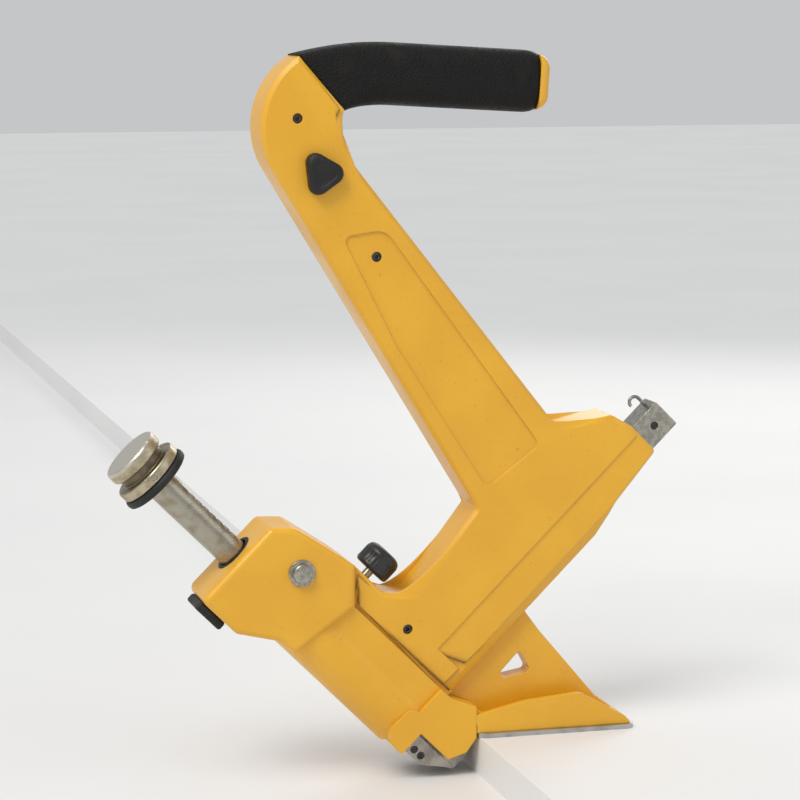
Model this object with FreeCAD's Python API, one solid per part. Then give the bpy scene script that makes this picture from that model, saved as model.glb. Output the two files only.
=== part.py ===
"""Mallet-struck flooring nailer: a cast frame with a raised handle, a ram at 45 degrees with a ratchet,
a magazine at right angles to the ram, and a sole plate that stands on the floorboards.

Millimetres. +Z is up, +X runs to the rear of the tool, and Y is its width. The origin is the centre of the
sole plate's underside. The ram axis lies in the plane y = 0. Pieces round it are drawn in the ram's own
frame: n runs across the axis along the magazine, and h runs up the axis, away from the nose.
"""

import FreeCAD, Part
import math
import os
from FreeCAD import Placement, Rotation, Vector

# ram frame in the tool's frame
RAM_TILT = 45.0
RAM_FOOT = (-84.5, 3.5)

# frame casting
FRAME_HALF = 18.0
WALL = 4.0
EDGE_BEVEL = 2.5
PANEL_DEPTH = 1.2
TANG_HALF = 10.0
TANG_HEIGHT = 27.0
ELBOW_RADIUS = 51.0
SCREW_R = 1.75
SCREW_HEAD_R = 2.9
SCREW_HEAD = 3.2
SCREW_CLEAR = 0.25
SCREW_SINK = 1.5
SCREW_COVER = 4.0

# handle
GRIP_START = (-133.0, 417.0)
GRIP_DROP = 3.4
GRIP_LENGTH = 123.0
GRIP_HEIGHT = 38.5
GRIP_HALF = 16.5
GRIP_ROUND = 10.0
APEX = (-163.0, 426.5)
GRIP_CORNER = (-135.0, 394.0)
CAP_LENGTH = 7.0
BUMPER_PLACE = (-148.5, 356.5)
BUMPER_STEM_R = 4.0
BUMPER_STEM = 12.0
BUMPER_PROUD = 8.0
END_SCREW = 34.0
CAP_ROUND = 6.0

# drive housing
HEAD_HALF = 24.0
HEAD_TOP = 167.0
HEAD_ROUND = 4.0
BARREL_R = 22.0
BARREL_FLAT_N = 27.0
BARREL_HALF = 20.0
BARREL_BOTTOM = 14.0
BORE_R = 13.0
BORE_BOTTOM = 56.0
PAD_FACE_N = -35.0
PAD_THICK = 6.0
PAD_H = 154.0
PAD_SCREW_Y = 9.0
PAD_SCREW_R = 2.0
PAD_SCREW_HEAD_R = 3.6

# joint between housing and frame
RIB_HALF = 6.0
RIB_LOW = 61.0
RIB_TOP = 80.0
RIB_REAR = 44.0
DOWEL_R = 4.0
DOWEL_HALF = 13.0

# ram
SHAFT_R = 10.0
RUNNING_GAP = 0.05
FREE_GAP = 0.4
RAM_STROKE = 60.0
SHAFT_BOTTOM = 122.0
COLLAR_R = 12.6
COLLAR_BOTTOM = 134.0
COLLAR_HEIGHT = 6.0
WIPER_LOW = HEAD_TOP - 4.5
WIPER_HEIGHT = 5.0
RING_R = 23.5
RING_THICK = 5.0
FLANGE_R = 22.2
FLANGE_THICK = 7.0
NECK_R = 16.0
NECK_HEIGHT = 5.0
STRIKE_CAP_R = 19.0
STRIKE_CAP_HEIGHT = 9.0
RACK_FLAT = 8.6
RACK_DEPTH = 2.0
RACK_PITCH = 6.0
BLADE_WIDE = 8.0
BLADE_THICK = 3.2
BLADE_SEAT = 14.0
BUMPER_HEIGHT = 5.0
BUSH_LOW = COLLAR_BOTTOM + COLLAR_HEIGHT + FREE_GAP
RING_LOW = HEAD_TOP + WIPER_HEIGHT + RAM_STROKE + 1.0
SHAFT_TOP = RING_LOW + RING_THICK + FLANGE_THICK + NECK_HEIGHT
RACK_START = 152.0
RACK_END = 222.0
BLADE_PIN_R = 1.5
BLADE_PIN_H = SHAFT_BOTTOM + 7.0
BLADE_TIP = SHAFT_BOTTOM - RAM_STROKE
HEAD_PIN_R = 2.0
HEAD_PIN_H = RING_LOW + RING_THICK + FLANGE_THICK / 2
SPRING_WIRE_R = 0.8
SPRING_MEAN_R = 11.6

# ratchet
PAWL_N = 19.5
PAWL_H = 133.0
PAWL_PIN_R = 3.5
PAWL_BOSS_R = 6.0
PAWL_HALF = 4.5
PAWL_TIP_H = 151.0
PAWL_ARM_N = 19.0
PAWL_ARM_THICK = 5.0
RELEASE_H = 94.5
STEM_R = 3.0
BUSH_R = 5.5
FLANK_N = 45.5
KNOB_R = 12.2
KNOB_HEIGHT = 16.0
KNOB_GAP = 5.0
SPRING_POCKET_R = 4.4
PAWL_SPRING_H = 147.0
PAWL_TIP_N = RACK_FLAT + FREE_GAP
NUT_HEIGHT = 6.5

# magazine
MAG_LOW = 5.2
MAG_REAR = 230.0
MAG_TOP_FRONT = 67.3
MAG_TOP_ARM = 76.5
ARM_FOOT_FRONT = 124.0
ARM_FOOT_REAR = 196.0
RAIL_FRONT = 28.0
RAIL_REAR = MAG_REAR - 8.0
RAIL_HALF = 4.4
RAIL_LOW = 10.0
NAIL_HEIGHT = 48.0
SLOT_HALF = 2.1
PUSHER_START = 34.0
PUSHER_LENGTH = 22.0
ROD_R = 1.8
ROD_Y = 8.0
BLOCK_LOW = 15.0
BLOCK_SIDE = 20.0
BLOCK_OUT = 23.0
ROD_H = 27.0
BRIDGE_LOW = RAIL_LOW + NAIL_HEIGHT + 0.8 - 2.0
BLOCK_PIN_R = 2.6
BLOCK_PIN_PLACE = (MAG_REAR + BLOCK_OUT / 2, BLOCK_LOW + BLOCK_SIDE / 2)
HOOK_R = 1.1
HOOK_INSET = 5.0
STEP_DEPTH = 0.8
STEP_HEIGHT = 32.0
LIP_HEIGHT = 13.5
LIP_DEPTH = 4.5
MAG_CAVITY_FRONT = 48.0

# nose, foot and sole
NOSE_HALF = 24.0
NOSE_TIP = -32.0
CHEEK_LOW = 4.0
JAW_HALF = 13.0
JAW_SPLIT = -2.0
JAW_REAR = 14.0
JAW_GAP = 1.5
FOOT_HALF = 7.0
SOLE_LENGTH = 104.0
SOLE_HALF = 27.0
SOLE_THICK = 3.0
FOOT_FLANGE = 7.0
SOLE_SCREW_X = 40.0
SOLE_SCREW_Y = 13.0
FOOT_SIDE = 24.0
FOOT_WALL = 4.0
NOSE_SCREW_H = (-0.5, -6.5)
NOSE_SCREW_N = -12.0
NOSE_SCREW_R = 1.5
NOSE_SCREW_HEAD_R = 2.4
SOLE_FRONT = -SOLE_LENGTH / 2

ACROSS = Vector(0, 1, 0)
RAM = Placement(Vector(RAM_FOOT[0], 0, RAM_FOOT[1]), Rotation(ACROSS, -RAM_TILT))


def ram_point(n, h, *radius):
    """The tool-frame (x, z) of a point in the ram frame, with a corner radius passed through."""
    point = RAM.multVec(Vector(n, 0, h))
    return (point.x, point.z, *radius)


def grip_point(along, up, *radius):
    """The tool-frame (x, z) of a point on the handle: along it from its start, and up from its middle."""
    drop = Placement(Vector(GRIP_START[0], 0, GRIP_START[1]), Rotation(ACROSS, GRIP_DROP))
    point = drop.multVec(Vector(along, 0, up))
    return (point.x, point.z, *radius)


def outline(corners):
    """A face in the XZ plane from corners (x, z) or (x, z, radius), in order round it."""
    points = [Vector(c[0], 0, c[1]) for c in corners]
    turns = []
    for i, corner in enumerate(points):
        radius = corners[i][2] if len(corners[i]) > 2 else 0.0
        back = (points[i - 1] - corner).normalize()
        ahead = (points[(i + 1) % len(points)] - corner).normalize()
        half = back.getAngle(ahead) / 2
        reach = radius / math.tan(half)
        middle = corner
        if radius:
            middle = corner + (back + ahead).normalize() * (radius / math.sin(half) - radius)
        turns.append((corner + back * reach, middle, corner + ahead * reach, radius))
    edges = []
    for i, (enter, middle, leave, radius) in enumerate(turns):
        if radius:
            edges.append(Part.Arc(enter, middle, leave).toShape())
        following = turns[(i + 1) % len(turns)][0]
        if (following - leave).Length > 1e-6:
            edges.append(Part.LineSegment(leave, following).toShape())
    return Part.Face(Part.Wire(edges))


def slab(corners, y_low, y_high):
    """A flat plate with an XZ outline, from y_low to y_high."""
    return outline(corners).translated(Vector(0, y_low, 0)).extrude(Vector(0, y_high - y_low, 0))


def box(x, y, z):
    """A box from three (low, high) pairs."""
    return Part.makeBox(x[1] - x[0], y[1] - y[0], z[1] - z[0], Vector(x[0], y[0], z[0]))


def upright(radius, low, high, n=0.0, y=0.0):
    """A rod along h in the ram frame, or along Z in the tool's."""
    return Part.makeCylinder(radius, high - low, Vector(n, y, low), Vector(0, 0, 1))


def lengthwise(radius, low, high, h, y=0.0):
    """A rod along n in the ram frame, or along X in the tool's."""
    return Part.makeCylinder(radius, high - low, Vector(low, y, h), Vector(1, 0, 0))


def crosswise(radius, low, high, place):
    """A rod along Y at an (x, z) place."""
    return Part.makeCylinder(radius, high - low, Vector(place[0], low, place[1]), ACROSS)


def in_ram(shape):
    """Moves a shape drawn in the ram frame into the tool's frame."""
    moved = shape.copy()
    moved.Placement = RAM.multiply(moved.Placement)
    return moved


def softened(shape, radius, wanted):
    """Rounds the edges for which wanted(edge) is true."""
    return shape.makeFillet(radius, [e for e in shape.Edges if wanted(e)])


def bevelled_slab(corners, inner, outer, bevel):
    """A slab from y = inner to y = outer whose outer face is bevelled all round."""
    side = math.copysign(1, outer - inner)
    face = outline(corners)
    shoulder = outer - side * bevel
    core = slab(corners, min(inner, shoulder), max(inner, shoulder))
    inset = face.makeOffset2D(-bevel, 2)
    rim = Part.makeLoft([face.OuterWire.translated(Vector(0, shoulder, 0)),
                         inset.OuterWire.translated(Vector(0, outer, 0))], True, True)
    return core.fuse(rim)


def on_side(y):
    """Picks the edges that lie in the plane at y."""
    return lambda e: abs(e.BoundBox.YMin - y) < 1e-3 and abs(e.BoundBox.YMax - y) < 1e-3


def coil(wire_r, mean_r, length, turns):
    """A helical spring standing on z = 0, inside its length."""
    rise = length - 2 * wire_r
    path = Part.makeHelix(rise / turns, rise, mean_r)
    ring = Part.Wire(Part.Circle(Vector(mean_r, 0, 0), ACROSS, wire_r).toShape())
    spring = Part.Wire(path).makePipeShell([ring], True, True)
    return spring.translated(Vector(0, 0, wire_r))


def laid_along(spring, n, y, h):
    """Lays a standing spring along n, with its near end at (n, y, h)."""
    spring.Placement = Placement(Vector(n, y, h), Rotation(ACROSS, 90.0)).multiply(spring.Placement)
    return spring


def cap_screw(head_r, head, shank_r, length):
    """A socket-head screw along +Y: its head's top is at y = 0, and its tip at y = length."""
    screw = crosswise(head_r, 0, head, (0, 0)).fuse(crosswise(shank_r, head, length, (0, 0)))
    socket = slab([(0.55 * head_r * math.cos(a), 0.55 * head_r * math.sin(a))
                   for a in (math.radians(60 * i) for i in range(6))], 0, 0.6 * head)
    return screw.cut(socket)


# ---- outlines shared by neighbouring pieces --------------------------------------------------------------

ARM_CORNERS = [
    (-205.0, 399.0, ELBOW_RADIUS),
    APEX,
    GRIP_CORNER,
    (-139.0, 388.0, 6.0),
    (-131.0, 363.0, 20.0),
]
MAGAZINE_CORNERS = [
    ram_point(ARM_FOOT_REAR, 74.0, 10.0),
    ram_point(MAG_REAR - 4.0, 53.0, 5.0),
    ram_point(MAG_REAR, 38.0, 4.0),
    ram_point(MAG_REAR, 15.0, 3.0),
    ram_point(189.0, 11.0, 8.0),
    ram_point(165.0, MAG_LOW, 10.0),
]
FLANK_CORNERS = [
    ram_point(FLANK_N, 110.0),
    ram_point(FLANK_N, 82.0, 8.0),
    ram_point(58.0, MAG_TOP_FRONT, 6.0),
    ram_point(ARM_FOOT_FRONT, MAG_TOP_ARM, 3.0),
]
SEAM_CORNERS = [
    ram_point(BARREL_FLAT_N, MAG_LOW),
    ram_point(BARREL_FLAT_N, 92.0),
]

ARM_SCREWS = [(-164.6, 389.2), (-115.2, 304.3)]
TANG_SCREWS = [grip_point(20.0, 0.0), grip_point(80.0, 0.0)]
RAIL_SCREW = ram_point(39.7, 55.5)
DOWEL_PLACE = ram_point(33.0, 71.0)


def frame_corners():
    """The frame's whole outline, in order."""
    return ARM_CORNERS + MAGAZINE_CORNERS + SEAM_CORNERS + FLANK_CORNERS


def magazine_cavity():
    """The room in the frame for the rails, the pusher and its spring."""
    top = MAG_TOP_FRONT - WALL
    front = slab([(BARREL_FLAT_N - 1, MAG_LOW + WALL), (165.0, MAG_LOW + WALL), (189.0, 11.0 + WALL),
                  (MAG_REAR - WALL, 15.0 + WALL), (MAG_REAR - WALL, 44.0), (ARM_FOOT_REAR, top),
                  (MAG_CAVITY_FRONT, top), (MAG_CAVITY_FRONT, RAIL_LOW + NAIL_HEIGHT + 0.5),
                  (BARREL_FLAT_N - 1, RAIL_LOW + NAIL_HEIGHT + 0.5)], -FRAME_HALF + WALL, FRAME_HALF - WALL)
    mouth = box((MAG_REAR - 2 * WALL, MAG_REAR + 1), (-BLOCK_SIDE / 2, BLOCK_SIDE / 2),
                (BLOCK_LOW, BLOCK_LOW + BLOCK_SIDE))
    return in_ram(front.fuse(mouth))


def arm_cavity():
    """The hollow of the arm, a wall's thickness inside its outline."""
    arm = outline(ARM_CORNERS + [ram_point(ARM_FOOT_REAR, 74.0), ram_point(ARM_FOOT_FRONT, MAG_TOP_ARM)])
    inner = arm.makeOffset2D(-2 * WALL)
    depth = FRAME_HALF - WALL
    return inner.translated(Vector(0, -depth, 0)).extrude(Vector(0, 2 * depth, 0))


def side_panel(side):
    """The shallow triangular panel sunk in each outer face of the arm."""
    face = side * FRAME_HALF
    corners = [(-137.0, 317.0, 4.0), (-103.0, 249.0, 30.0), (-44.6, 158.0, 5.0), (-10.0, 184.0, 5.0),
               (-110.0, 321.0, 12.0)]
    return slab(corners, min(face, face - side * PANEL_DEPTH), max(face, face - side * PANEL_DEPTH))


def magazine_steps(side):
    """The shallow step along the magazine's side, and the wide bevel along its lower edge."""
    rear = MAG_REAR + 1
    step = box((RIB_REAR, rear), (FRAME_HALF - STEP_DEPTH, FRAME_HALF + 1), (0.0, STEP_HEIGHT))
    start = BARREL_FLAT_N + 4
    profile = [(FRAME_HALF + 1, LIP_HEIGHT + 1), (FRAME_HALF + 1, 0),
               (FRAME_HALF - LIP_DEPTH - 1, MAG_LOW - 1.5), (FRAME_HALF, LIP_HEIGHT),
               (FRAME_HALF + 1, LIP_HEIGHT + 1)]
    wedge = Part.Face(Part.makePolygon([Vector(start, y, h) for y, h in profile]))
    lip = wedge.extrude(Vector(rear - start, 0, 0))
    return on_right(in_ram(step.fuse(lip)), side)


def frame_half(side):
    """One half of the frame: side is -1 for the left casting and +1 for the right."""
    corners = frame_corners()
    half = bevelled_slab(corners, 0, side * FRAME_HALF, EDGE_BEVEL)
    tang = slab([APEX, grip_point(4.0, TANG_HEIGHT / 2, 14.0), grip_point(GRIP_LENGTH, TANG_HEIGHT / 2, 3.0),
                 grip_point(GRIP_LENGTH, -TANG_HEIGHT / 2, 3.0), grip_point(8.0, -TANG_HEIGHT / 2),
                 (-146.0, 390.0)], min(0, side * TANG_HALF), max(0, side * TANG_HALF))
    half = half.fuse(tang).cut(arm_cavity()).cut(magazine_cavity())
    for place in ARM_SCREWS:
        boss = crosswise(SCREW_HEAD_R + 3, -FRAME_HALF, FRAME_HALF, place)
        half = half.fuse(boss.common(slab(corners, min(0, side * FRAME_HALF), max(0, side * FRAME_HALF))))
    half = half.cut(side_panel(side)).cut(magazine_steps(side))
    half = half.cut(housing_rib()).cut(in_ram(lengthwise(BUSH_R, BARREL_FLAT_N, FLANK_N, RELEASE_H)))
    half = half.cut(crosswise(DOWEL_R, -DOWEL_HALF, DOWEL_HALF, DOWEL_PLACE)).cut(end_screw_shank(0.0))
    for place, depth in clamp_screw_places():
        if side < 0:
            seat = SCREW_SINK + SCREW_HEAD - depth
            half = half.cut(crosswise(SCREW_R + SCREW_CLEAR, -depth, 0, place))
            half = half.cut(crosswise(SCREW_HEAD_R + SCREW_CLEAR, -depth, seat, place))
        else:
            half = half.cut(crosswise(SCREW_R, 0, depth - SCREW_COVER, place))
    half = half.cut(rail_screw_room(side))
    if side < 0:
        half = half.cut(crosswise(BUMPER_STEM_R, -FRAME_HALF, 0, BUMPER_PLACE))
    half = half.cut(in_ram(lengthwise(ROD_R, MAG_CAVITY_FRONT - 8, MAG_CAVITY_FRONT + 1, ROD_H, ROD_Y)))
    return half.removeSplitter()


def housing_rib():
    """The rib of the drive housing that the two frame halves clamp."""
    return in_ram(box((BARREL_FLAT_N - 2, RIB_REAR), (-RIB_HALF, RIB_HALF), (RIB_LOW, RIB_TOP)))


def housing_dowel():
    """The dowel across the rib, which keys the drive housing to both frame halves."""
    return crosswise(DOWEL_R, -DOWEL_HALF, DOWEL_HALF, DOWEL_PLACE)


def clamp_screw_places():
    """Each screw that clamps the frame halves, with the half-thickness that it goes through."""
    return [(place, FRAME_HALF) for place in ARM_SCREWS] + [(place, TANG_HALF) for place in TANG_SCREWS]


def clamp_screws(places):
    """A group of like clamping screws."""
    screws = []
    for place, depth in places:
        screw = cap_screw(SCREW_HEAD_R, SCREW_HEAD, SCREW_R, 2 * depth - SCREW_COVER - SCREW_SINK)
        screws.append(screw.translated(Vector(place[0], SCREW_SINK - depth, place[1])))
    return Part.makeCompound(screws)


def rail_screw_room(side):
    """The counterbored hole for the short screw that holds the magazine rail to one frame half."""
    seat = FRAME_HALF - SCREW_SINK - SCREW_HEAD
    shank = crosswise(SCREW_R + SCREW_CLEAR, RAIL_HALF, FRAME_HALF, RAIL_SCREW)
    head = crosswise(SCREW_HEAD_R + SCREW_CLEAR, seat, FRAME_HALF, RAIL_SCREW)
    return on_right(shank.fuse(head), side)


def on_right(shape, side):
    """Leaves a shape made for the right side there, or mirrors it to the left."""
    return shape if side > 0 else shape.mirror(Vector(0, 0, 0), ACROSS)


def rail_screws():
    """The two short screws that hold the magazine rail between the frame halves."""
    screw = cap_screw(SCREW_HEAD_R, SCREW_HEAD, SCREW_R, FRAME_HALF - SCREW_SINK - SLOT_HALF - 0.4)
    left = screw.translated(Vector(RAIL_SCREW[0], SCREW_SINK - FRAME_HALF, RAIL_SCREW[1]))
    return Part.makeCompound([left, on_right(left, -1)])


# ---- handle ----------------------------------------------------------------------------------------------

def grip():
    """The rubber grip: a rounded sleeve over the tang, cut on a slant where it meets the elbow."""
    up = GRIP_HEIGHT / 2
    sleeve = slab([APEX, grip_point(0.0, up, 40.0), grip_point(GRIP_LENGTH, up, 4.0),
                   grip_point(GRIP_LENGTH, -up, 4.0), GRIP_CORNER], -GRIP_HALF, GRIP_HALF)
    sleeve = softened(sleeve, GRIP_ROUND, lambda e: on_side(GRIP_HALF)(e) or on_side(-GRIP_HALF)(e))
    hole = slab([APEX, grip_point(4.0, TANG_HEIGHT / 2, 14.0), grip_point(GRIP_LENGTH, TANG_HEIGHT / 2),
                 grip_point(GRIP_LENGTH, -TANG_HEIGHT / 2), grip_point(8.0, -TANG_HEIGHT / 2),
                 (-146.0, 390.0)], -TANG_HALF, TANG_HALF)
    return sleeve.cut(hole)


def grip_end_cap():
    """The cast cap that closes the handle's rear end."""
    up = GRIP_HEIGHT / 2 - 2.0
    side = GRIP_HALF - 1.5
    front = GRIP_LENGTH - 20.0
    rear = GRIP_LENGTH + CAP_LENGTH
    cap = slab([grip_point(front, up), grip_point(rear, up, 9.0), grip_point(rear, -up, 9.0),
                grip_point(front, -up)], -side, side)
    cap = softened(cap, CAP_ROUND, lambda e: on_side(side)(e) or on_side(-side)(e))
    sleeve = [grip_point(front - 5, up + 5), grip_point(GRIP_LENGTH, up + 5),
              grip_point(GRIP_LENGTH, -up - 5), grip_point(front - 5, -up - 5)]
    sleeve_room = slab(sleeve, -side - 5, side + 5)
    return cap.cut(sleeve_room).cut(end_screw_room())


def along_grip(shape):
    """Turns a shape drawn along +Y so that it runs along the handle from its rear end."""
    rear = grip_point(GRIP_LENGTH + CAP_LENGTH, 0.0)
    turn = Rotation(ACROSS, GRIP_DROP).multiply(Rotation(Vector(0, 0, 1), 90.0))
    moved = shape.copy()
    moved.Placement = Placement(Vector(rear[0], 0, rear[1]), turn)
    return moved


def end_screw_shank(clear):
    """The hole for the end cap screw's shank."""
    return along_grip(crosswise(SCREW_R + clear, 0, END_SCREW + SCREW_SINK, (0, 0)))


def end_screw_room():
    """The counterbored clearance hole in the end cap."""
    head = along_grip(crosswise(SCREW_HEAD_R + SCREW_CLEAR, -1, SCREW_HEAD + SCREW_SINK, (0, 0)))
    return end_screw_shank(SCREW_CLEAR).fuse(head)


def end_cap_screw():
    """The screw that holds the end cap on the tang."""
    screw = cap_screw(SCREW_HEAD_R, SCREW_HEAD, SCREW_R, END_SCREW)
    return along_grip(screw.translated(Vector(0, SCREW_SINK, 0)))


def arm_bumper():
    """The rubber bumper on the arm's left side: a rounded triangle with a stem pressed into the casting."""
    x, z = BUMPER_PLACE
    corners = [(x - 13.0, z + 17.0, 6.0), (x - 9.0, z - 18.0, 6.0), (x + 17.0, z + 0.0, 6.5)]
    face = -FRAME_HALF
    pad = slab(corners, face - BUMPER_PROUD, face)
    pad = softened(pad, 2.5, on_side(face - BUMPER_PROUD))
    return pad.fuse(crosswise(BUMPER_STEM_R, face, face + BUMPER_STEM, BUMPER_PLACE))


# ---- drive housing ---------------------------------------------------------------------------------------

HEAD_CORNERS = [
    (PAD_FACE_N, HEAD_TOP, 5.0),
    (PAD_FACE_N, 136.0, 6.0),
    (-BARREL_R + 2.0, 112.0, 14.0),
    (-BARREL_R + 2.0, 100.0),
    (BARREL_FLAT_N, 92.0),
    (FLANK_N, 110.0),
    (44.0, 121.0, 12.0),
    (37.0, 155.0, 8.0),
    (26.0, HEAD_TOP, 5.0),
]


def barrel(low, high):
    """The barrel's outer body from h = low to h = high."""
    tube = upright(BARREL_R, low, high)
    flank = box((0.0, BARREL_FLAT_N), (-BARREL_HALF, BARREL_HALF), (low, high))
    room = box((-BARREL_R, BARREL_FLAT_N), (-BARREL_R, BARREL_R), (low, high))
    return tube.fuse(flank).common(room).removeSplitter()


def drive_housing():
    """The head and barrel in one casting, bored for the ram and slotted for the pawl."""
    head = slab(HEAD_CORNERS, -HEAD_HALF, HEAD_HALF)
    head = softened(head, HEAD_ROUND, lambda e: on_side(HEAD_HALF)(e) or on_side(-HEAD_HALF)(e))
    body = head.fuse(barrel(BARREL_BOTTOM, 112.0))
    body = body.cut(upright(BORE_R, BORE_BOTTOM, HEAD_TOP + 1))
    body = body.cut(blade_channel(BARREL_BOTTOM - 1, BORE_BOTTOM + 1))
    body = body.cut(nail_slot(RAIL_LOW + 2, RAIL_LOW + NAIL_HEIGHT))
    pocket = PAWL_HALF + FREE_GAP
    body = body.cut(box((BORE_R - 3, PAWL_N + 10), (-pocket, pocket), (RELEASE_H - 8, PAWL_TIP_H + 4)))
    body = body.cut(lengthwise(SPRING_POCKET_R, PAWL_N, PAWL_N + 17.0, PAWL_SPRING_H))
    body = body.cut(lengthwise(STEM_R + FREE_GAP, PAWL_N, FLANK_N + 1, RELEASE_H))
    body = body.cut(crosswise(PAWL_PIN_R, -HEAD_HALF - 1, HEAD_HALF + 1, (PAWL_N, PAWL_H)))
    for y in (-PAD_SCREW_Y, PAD_SCREW_Y):
        body = body.cut(lengthwise(PAD_SCREW_R, PAD_FACE_N - 1, PAD_FACE_N + 8.0, PAD_H, y))
    body = body.cut(lengthwise(BUSH_R, PAWL_N + 10, FLANK_N + 1, RELEASE_H))
    return in_ram(body).fuse(housing_rib()).cut(housing_dowel())


def blade_channel(low, high):
    """The slot that guides the driver blade and the nail."""
    half_n = BLADE_WIDE / 2 + FREE_GAP
    half_y = BLADE_THICK / 2 + FREE_GAP
    return box((-half_n, half_n), (-half_y, half_y), (low, high))


def nail_slot(low, high):
    """The slot from the magazine into the blade channel."""
    return box((0.0, BARREL_FLAT_N + 1), (-SLOT_HALF, SLOT_HALF), (low, high))


def front_pad():
    """The rubber pad on the front of the head."""
    pad = box((PAD_FACE_N - PAD_THICK, PAD_FACE_N), (-15.0, 15.0), (PAD_H - 10.5, PAD_H + 10.5))
    pad = softened(pad, 2.0, lambda e: e.BoundBox.XMax < PAD_FACE_N - 1e-3)
    for y in (-PAD_SCREW_Y, PAD_SCREW_Y):
        pad = pad.cut(lengthwise(PAD_SCREW_R, PAD_FACE_N - PAD_THICK, PAD_FACE_N, PAD_H, y))
        pad = pad.cut(lengthwise(PAD_SCREW_HEAD_R, PAD_FACE_N - PAD_THICK, PAD_FACE_N - 3.0, PAD_H, y))
    return in_ram(pad)


def front_pad_screws():
    """The two screws through the front pad."""
    screws = []
    for y in (-PAD_SCREW_Y, PAD_SCREW_Y):
        head = lengthwise(PAD_SCREW_HEAD_R, PAD_FACE_N - 5.0, PAD_FACE_N - 3.0, PAD_H, y)
        shank = lengthwise(PAD_SCREW_R, PAD_FACE_N - 3.0, PAD_FACE_N + 7.0, PAD_H, y)
        screws.append(in_ram(head.fuse(shank)))
    return Part.makeCompound(screws)


def upper_bush():
    """The long upper guide bush, with a window for the pawl's tooth."""
    bush = upright(BORE_R, BUSH_LOW, WIPER_LOW).cut(upright(SHAFT_R + RUNNING_GAP, BUSH_LOW, WIPER_LOW))
    window = PAWL_HALF + FREE_GAP
    return in_ram(bush.cut(box((0.0, BORE_R + 1), (-window, window), (BUSH_LOW - 1, PAWL_TIP_H + 4))))


def wiper_ring():
    """The wiper seal set in the mouth of the bore, where the shaft enters the head."""
    top = WIPER_LOW + WIPER_HEIGHT
    ring = softened(upright(BORE_R, WIPER_LOW, top), 0.4, lambda e: e.BoundBox.ZMin > top - 1e-3)
    return in_ram(ring.cut(upright(SHAFT_R + FREE_GAP, WIPER_LOW, top)))


def stroke_bumper():
    """The rubber washer at the bottom of the bore."""
    washer = upright(BORE_R, BORE_BOTTOM, BORE_BOTTOM + BUMPER_HEIGHT)
    return in_ram(washer.cut(upright(SHAFT_R + FREE_GAP, BORE_BOTTOM, BORE_BOTTOM + BUMPER_HEIGHT)))


# ---- ram -------------------------------------------------------------------------------------------------

def ram_shaft():
    """The steel shaft: a collar at its foot, a rack along its flat, and a slot for the driver blade."""
    shaft = upright(SHAFT_R, SHAFT_BOTTOM, SHAFT_TOP)
    collar_top = COLLAR_BOTTOM + COLLAR_HEIGHT
    shaft = shaft.fuse(upright(COLLAR_R, COLLAR_BOTTOM, collar_top))
    shaft = shaft.cut(box((RACK_FLAT, SHAFT_R + 3), (-SHAFT_R, SHAFT_R), (collar_top, RACK_END)))
    count = int((RACK_END - RACK_START) / RACK_PITCH)
    for i in range(count):
        low = RACK_START + i * RACK_PITCH
        high = low + 0.8 * RACK_PITCH
        notch = [(RACK_FLAT + 1, low), (RACK_FLAT + 1, high), (RACK_FLAT, high),
                 (RACK_FLAT - RACK_DEPTH, low + 0.2), (RACK_FLAT, low)]
        shaft = shaft.cut(slab(notch, -SHAFT_R, SHAFT_R))
    half_n = BLADE_WIDE / 2
    half_y = BLADE_THICK / 2
    seat = (SHAFT_BOTTOM - 1, SHAFT_BOTTOM + BLADE_SEAT)
    shaft = shaft.cut(box((-half_n, half_n), (-half_y, half_y), seat))
    shaft = shaft.cut(crosswise(BLADE_PIN_R, -SHAFT_R, SHAFT_R, (0.0, BLADE_PIN_H)))
    shaft = shaft.cut(crosswise(HEAD_PIN_R, -SHAFT_R, SHAFT_R, (0.0, HEAD_PIN_H)))
    return in_ram(shaft)


def driver_blade():
    """The flat blade that drives the nail."""
    half_n = BLADE_WIDE / 2
    half_y = BLADE_THICK / 2
    blade = box((-half_n, half_n), (-half_y, half_y), (BLADE_TIP, SHAFT_BOTTOM + BLADE_SEAT))
    return in_ram(blade.cut(crosswise(BLADE_PIN_R, -half_y - 1, half_y + 1, (0.0, BLADE_PIN_H))))


def blade_pin():
    """The cross pin that holds the blade in the shaft."""
    return in_ram(crosswise(BLADE_PIN_R, -SHAFT_R + 0.6, SHAFT_R - 0.6, (0.0, BLADE_PIN_H)))


def strike_head():
    """The turned head that the mallet strikes: flange, neck and cap."""
    flange_low = RING_LOW + RING_THICK
    neck_low = flange_low + FLANGE_THICK
    cap_low = neck_low + NECK_HEIGHT
    flange = upright(FLANGE_R, flange_low, neck_low)
    flange = softened(flange, 1.5, lambda e: e.BoundBox.ZLength < 1e-3)
    cap = upright(STRIKE_CAP_R, cap_low, cap_low + STRIKE_CAP_HEIGHT)
    cap = softened(cap, 2.5, lambda e: e.BoundBox.ZLength < 1e-3)
    hub = upright(NECK_R, RING_LOW, cap_low)
    head = flange.fuse(hub).fuse(cap).cut(upright(SHAFT_R, RING_LOW - 1, SHAFT_TOP))
    return in_ram(head.cut(crosswise(HEAD_PIN_R, -FLANGE_R, FLANGE_R, (0.0, HEAD_PIN_H))))


def ram_ring():
    """The rubber ring under the flange."""
    ring = upright(RING_R, RING_LOW, RING_LOW + RING_THICK)
    ring = softened(ring, 1.5, lambda e: e.BoundBox.ZLength < 1e-3)
    return in_ram(ring.cut(upright(NECK_R, RING_LOW - 1, RING_LOW + RING_THICK + 1)))


def strike_head_pin():
    """The cross pin that holds the strike head on the shaft."""
    return in_ram(crosswise(HEAD_PIN_R, -FLANGE_R + 0.8, FLANGE_R - 0.8, (0.0, HEAD_PIN_H)))


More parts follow.
